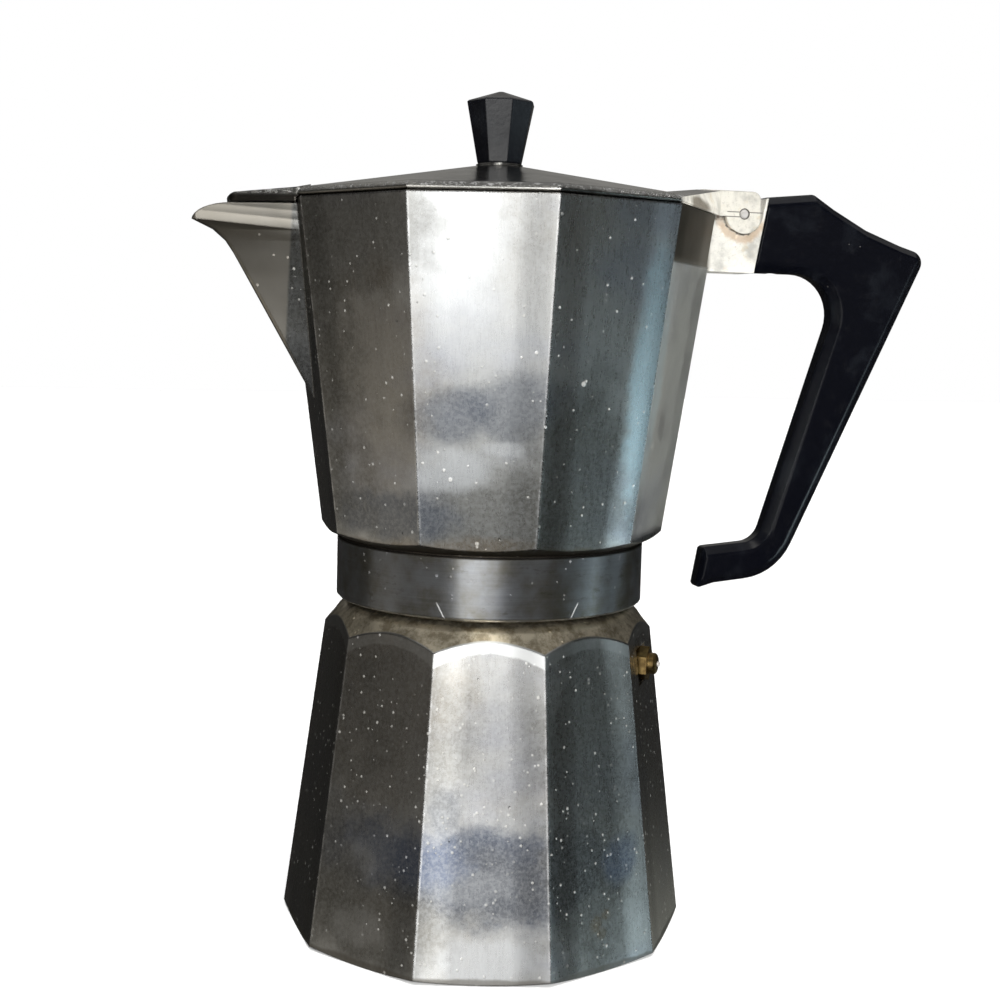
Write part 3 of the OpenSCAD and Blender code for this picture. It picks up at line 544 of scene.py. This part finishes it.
def pin_grime(g, root):
    """Dark ring round the pin's end, with two joint lines that run out from it."""
    past, rise, away = g.from_pin()
    ring = g.mul(g.fall(away, 0.0016, 0.0019), root)
    upper = g.mul(g.band(rise, 0.0004, 0.0007, 0.00012), g.step(past, -0.0060, -0.0058))
    lower = g.mul(g.band(rise, -0.0011, -0.0008, 0.00012), g.fall(past, 0.0, 0.0002))
    lines = g.mul(g.math("MAXIMUM", upper, lower), g.mul(root, g.step(past, -0.0062, -0.0060)))
    return g.math("MAXIMUM", ring, g.mul(lines, 0.8))


def lid_alloy():
    """Darkened glossy lid with a nicked rim, and a hinge root left bright from the casting, with painted shade on
    it.
    """
    g = Graph("lid_alloy")
    cloud = g.noise(0.03, 5, offset=61, rough=0.6)
    colour = g.mix(g.step(cloud, 0.3, 0.7), (0.22, 0.215, 0.20), (0.38, 0.375, 0.36))
    for x, y, wide, deep, seed, strength, tone in LID_PATCHES:
        patch = g.blob((x, y, RIM_Z + 0.004), (wide, deep, 0.02), offset=seed)
        colour = g.mix(g.mul(patch, strength), colour, tone)
    scratch = g.step(g.noise(0.0004, 2, (1, 0.02, 1), 63), 0.6, 0.75)
    colour = g.mix(g.mul(scratch, 0.25), colour, (0.5, 0.5, 0.5))
    pale = g.specks(0.005, 0.15, 0.0007, 67)
    colour = g.mix(g.mul(pale, 0.5), colour, (0.6, 0.6, 0.58))
    rim = g.band(g.z, RIM_Z + 0.0012, RIM_Z + 0.0024, 0.0003)
    nicks = g.mul(rim, g.step(g.noise(0.0016, 6, offset=75, rough=0.8), 0.46, 0.60))
    colour = g.mix(g.mul(nicks, 0.8), colour, (0.85, 0.85, 0.84))
    colour = g.mix(g.mul(g.fall(g.z, RIM_Z + 0.0004, RIM_Z + 0.0010), 0.8), colour, DIRT_AND_SHADE)
    root = g.mul(g.step(g.x, ROOT_X - 0.001, ROOT_X + 0.001), g.upright())
    colour = g.mix(root, colour, root_silver(g))
    colour = g.mix(pin_grime(g, root), colour, DIRT_AND_SHADE)
    rough = g.add(g.mul(g.noise(0.006, 4, offset=71), 0.14), 0.14)
    rough = g.add(g.mul(rough, g.sub(1.0, root)), g.mul(root, 0.42))
    dull = g.step(g.x, 0.0695, 0.0705, 0.80, 0.45)
    normal = g.rounded_edges(0.0007)
    normal = g.bump(g.noise(0.012, 2, offset=73), 0.00006, normal)
    normal = g.bump(nicks, -0.00006, normal)
    return g.finish(colour=colour, rough=rough, normal=normal, metal=g.sub(1.0, g.mul(root, dull)))


def plain_alloy():
    """Matt pressed aluminium of the parts inside the pot."""
    g = Graph("plain_alloy")
    cloud = g.noise(0.01, 5, offset=81, rough=0.6)
    colour = g.mix(cloud, (0.50, 0.49, 0.47), (0.70, 0.70, 0.69))
    rough = g.add(g.mul(g.noise(0.0015, 4, offset=83), 0.2), 0.32)
    normal = g.bump(g.noise(0.0006, 3, offset=87), 0.00001)
    return g.finish(colour=colour, rough=rough, normal=normal, metal=1.0)


def metal(name, low, high, rough, shine=1.0):
    """Plain metal, clouded between two colours."""
    grain = 0.003
    g = Graph(name)
    cloud = g.noise(grain, 5, offset=91, rough=0.65)
    colour = g.mix(g.step(cloud, 0.3, 0.7), low, high)
    spread = g.add(g.mul(g.noise(grain / 3, 4, offset=93), 0.22), rough)
    normal = g.bump(g.noise(grain / 4, 3, offset=97), 0.00002)
    return g.finish(colour=colour, rough=spread, normal=normal, metal=shine)


def bakelite():
    """Glossy black plastic with faint dust. The handle is duller than the knob."""
    g = Graph("bakelite")
    cloud = g.step(g.noise(0.014, 5, offset=110, rough=0.6), 0.50, 0.68)
    dust = g.step(g.noise(0.004, 8, offset=101, rough=0.75), 0.52, 0.75)
    colour = g.mix(g.mul(dust, 0.014), (0.0012, 0.0014, 0.0026), (0.20, 0.19, 0.18))
    fleck = g.specks(0.0020, 0.12, 0.00022, 103)
    colour = g.mix(g.mul(fleck, 0.3), colour, (0.30, 0.29, 0.27))
    colour = g.mix(g.mul(cloud, 0.5), colour, (0.006, 0.007, 0.009))
    rough = g.add(g.mul(g.noise(0.01, 6, offset=107, rough=0.7), 0.26), 0.08)
    normal = g.rounded_edges(0.0005)
    normal = g.bump(g.noise(0.0022, 4, offset=109), 0.00004, normal)
    shine = g.step(g.x, 0.05, 0.06, 0.50, 0.26)           # from the knob to the handle
    return g.finish(colour=colour, rough=rough, normal=normal, metal=0.0, specular=shine)


def gasket_rubber():
    """Matt off-white rubber."""
    g = Graph("gasket_rubber")
    cloud = g.noise(0.006, 5, offset=111)
    colour = g.mix(cloud, (0.55, 0.52, 0.46), (0.74, 0.72, 0.68))
    rough = g.add(g.mul(g.noise(0.002, 4, offset=113), 0.15), 0.55)
    normal = g.bump(g.noise(0.0005, 3, offset=117), 0.00002)
    return g.finish(colour=colour, rough=rough, normal=normal, metal=0.0)


SHARP_ANGLE = math.radians(24)
MERGE_DISTANCE = 1e-7


def smoothing():
    """Geometry nodes that join a CAD mesh's faces and smooth it, except across edges over SHARP_ANGLE."""
    tree = bpy.data.node_groups.new("smooth_by_angle", "GeometryNodeTree")
    for way in ("INPUT", "OUTPUT"):
        tree.interface.new_socket("Geometry", in_out=way, socket_type="NodeSocketGeometry")

    def new(kind, settings=None, **sockets):
        n = tree.nodes.new(kind)
        for key, value in (settings or {}).items():
            setattr(n, key, value)
        for key, value in sockets.items():
            if isinstance(value, bpy.types.NodeSocket):
                tree.links.new(value, n.inputs[key])
            else:
                n.inputs[key].default_value = value
        return n

    mesh = new("NodeGroupInput").outputs[0]
    plain = new("GeometryNodeRemoveAttribute", Geometry=mesh, Name="custom_normal")
    joined = new("GeometryNodeMergeByDistance", Geometry=plain.outputs[0], Distance=MERGE_DISTANCE)
    soft = new("GeometryNodeSetShadeSmooth", {"domain": "FACE"}, Geometry=joined.outputs[0])
    sharp = new("FunctionNodeCompare", {"data_type": "FLOAT", "operation": "GREATER_THAN"})
    tree.links.new(new("GeometryNodeInputMeshEdgeAngle").outputs[0], sharp.inputs[0])
    sharp.inputs[1].default_value = SHARP_ANGLE
    split = new("GeometryNodeSetShadeSmooth", {"domain": "EDGE"}, Geometry=soft.outputs[0])
    tree.links.new(sharp.outputs[0], split.inputs["Selection"])
    split.inputs["Shade Smooth"].default_value = False
    tree.links.new(split.outputs[0], new("NodeGroupOutput").inputs[0])
    return tree


def dress():
    """Give each node its slot's material, and smooth its shading."""
    smooth = smoothing()
    finishes = {
        "boiler_alloy": boiler_alloy(), "collector_alloy": collector_alloy(), "lid_alloy": lid_alloy(),
        "plain_alloy": plain_alloy(), "bakelite": bakelite(), "gasket_rubber": gasket_rubber(),
        "brass": metal("brass", (0.14, 0.09, 0.035), (0.36, 0.25, 0.10), 0.25),
        "copper": metal("copper", (0.25, 0.13, 0.07), (0.48, 0.28, 0.16), 0.3),
        "steel": metal("steel", (0.44, 0.41, 0.38), (0.66, 0.64, 0.62), 0.28, shine=0.6),
    }
    slots = {p["node"]: p["material_slot"] for p in frame["record"]["subparts"]}
    for name, obj in NODES.items():
        obj.data.materials.clear()
        obj.data.materials.append(finishes[slots[name]])
        obj.modifiers.new("smooth", "NODES").node_group = smooth
        obj.modifiers.new("even_normals", "WEIGHTED_NORMAL").keep_sharp = True


# ------------------------------------------------------------------ stage

def area(name, place, target, size, power, mirrored=True):
    """Square lamp that faces the target; mirrored says whether it shows in reflections."""
    data = bpy.data.lights.new(name, "AREA")
    data.size = size
    data.energy = power
    lamp = bpy.data.objects.new(name, data)
    lamp.location = place
    lamp.rotation_euler = (Vector(target) - Vector(place)).to_track_quat("-Z", "Y").to_euler()
    lamp.visible_glossy = mirrored
    scene.collection.objects.link(lamp)


# Soft boxes round the pot, as the metal mirrors them:
# (direction, half width, lowest and highest elevation, all in degrees; strength; colour)
SOFT_BOXES = [
    (-118, 8, -14, 14, 3.70, (1.0, 1.0, 0.98)),
    (-101, 8, -13, 14, 1.25, (1.0, 1.0, 1.0)),
    (-110, 22, -27, -14, 0.46, (0.92, 0.97, 1.0)),
    (-66, 11, -2, 16, 0.12, (1.0, 0.98, 0.91)),
    (-38, 10, -32, 2, 0.05, (0.92, 1.0, 0.98)),
    (-18, 6, -34, -15, 4.20, (0.74, 0.93, 1.0)),
    (-16, 6, -8, 2, 1.00, (0.78, 0.94, 1.0)),
    (40, 12, -34, -18, 0.40, (0.98, 1.0, 0.88)),
    (78, 22, 8, 30, 0.26, (1.0, 0.98, 0.93)),
    (80, 70, 36, 60, 0.40, (1.0, 0.99, 0.97)),
    (172, 15, -36, -14, 0.58, (1.0, 0.94, 0.82)),
    (178, 15, -13, 6, 0.12, (1.0, 0.95, 0.88)),
    (-157, 8, -8, 14, 0.25, (1.0, 0.95, 0.88)),
    (-104, 14, 50, 72, 2.60, (1.0, 0.97, 0.90)),
    (-133, 14, -75, -38, 0.13, (1.0, 0.91, 0.76)),
]
BOX_EDGE = 0.07                 # softness of a box's upper and lower edge, as the sine of an elevation
ROOM = (0.030, 0.029, 0.027)
CEILING = (0.55, 0.55, 0.55)
BACKDROP = (1.0, 1.0, 1.0)


def studio():
    """Pale backdrop for the camera; a dim room with soft boxes for what lights and mirrors in the pot."""
    world = bpy.data.worlds.new("studio")
    world.use_nodes = True
    scene.world = world
    g = Nodes(world.node_tree)
    split = g.new("SeparateXYZ", Vector=g.new("TexCoord").outputs["Generated"])
    x, y, z = split.outputs
    level = g.length(x, y)
    glow = g.mix(g.step(z, 0.75, 0.98), ROOM, CEILING)
    for direction, half, low, high, strength, colour in SOFT_BOXES:
        near = g.math("DIVIDE", g.along(x, y, direction), level)
        wide = g.step(near, math.cos(math.radians(half * 1.4)), math.cos(math.radians(half * 0.6)))
        tall = g.band(z, math.sin(math.radians(low)), math.sin(math.radians(high)), BOX_EDGE)
        lit = tuple(strength * c for c in colour)
        glow = g.mix(g.mul(wide, tall), glow, g.mix(1.0, glow, lit, "ADD"))
    room = g.new("Background", Color=glow)
    backdrop = g.new("Background", Color=BACKDROP)
    seen = g.new("LightPath").outputs["Is Camera Ray"]
    both = g.new("MixShader")
    for socket, value in zip(both.inputs, (seen, room.outputs[0], backdrop.outputs[0])):
        g.put(socket, value)
    g.new("OutputWorld", Surface=both.outputs[0])


def stage():
    """Floor, world and lamps."""
    bpy.ops.mesh.primitive_plane_add(size=8, location=(0, 0, -0.0001))
    floor = bpy.context.object
    floor.name = "floor"
    floor.visible_glossy = False
    floor.visible_shadow = False
    g = Graph("floor_paint")
    colour = g.mix(g.noise(0.2, 4, offset=7), (0.86, 0.86, 0.855), (0.89, 0.89, 0.885))
    floor.data.materials.append(g.finish(colour=colour, rough=0.6, metal=0.0, specular=0.2))
    studio()
    area("front", (-0.16, -0.62, 0.30), (0, 0, 0.13), 0.10, 0.5)
    area("fill", (-0.05, -0.62, 0.26), (0.02, 0, 0.16), 0.20, 6.0, mirrored=False)
    sun = bpy.data.objects.new("overhead", bpy.data.lights.new("overhead", "SUN"))
    sun.data.energy = 3.8
    sun.data.angle = math.radians(75)
    sun.visible_glossy = False
    scene.collection.objects.link(sun)
    scene.view_settings.view_transform = "Standard"


camera()
dress()
stage()
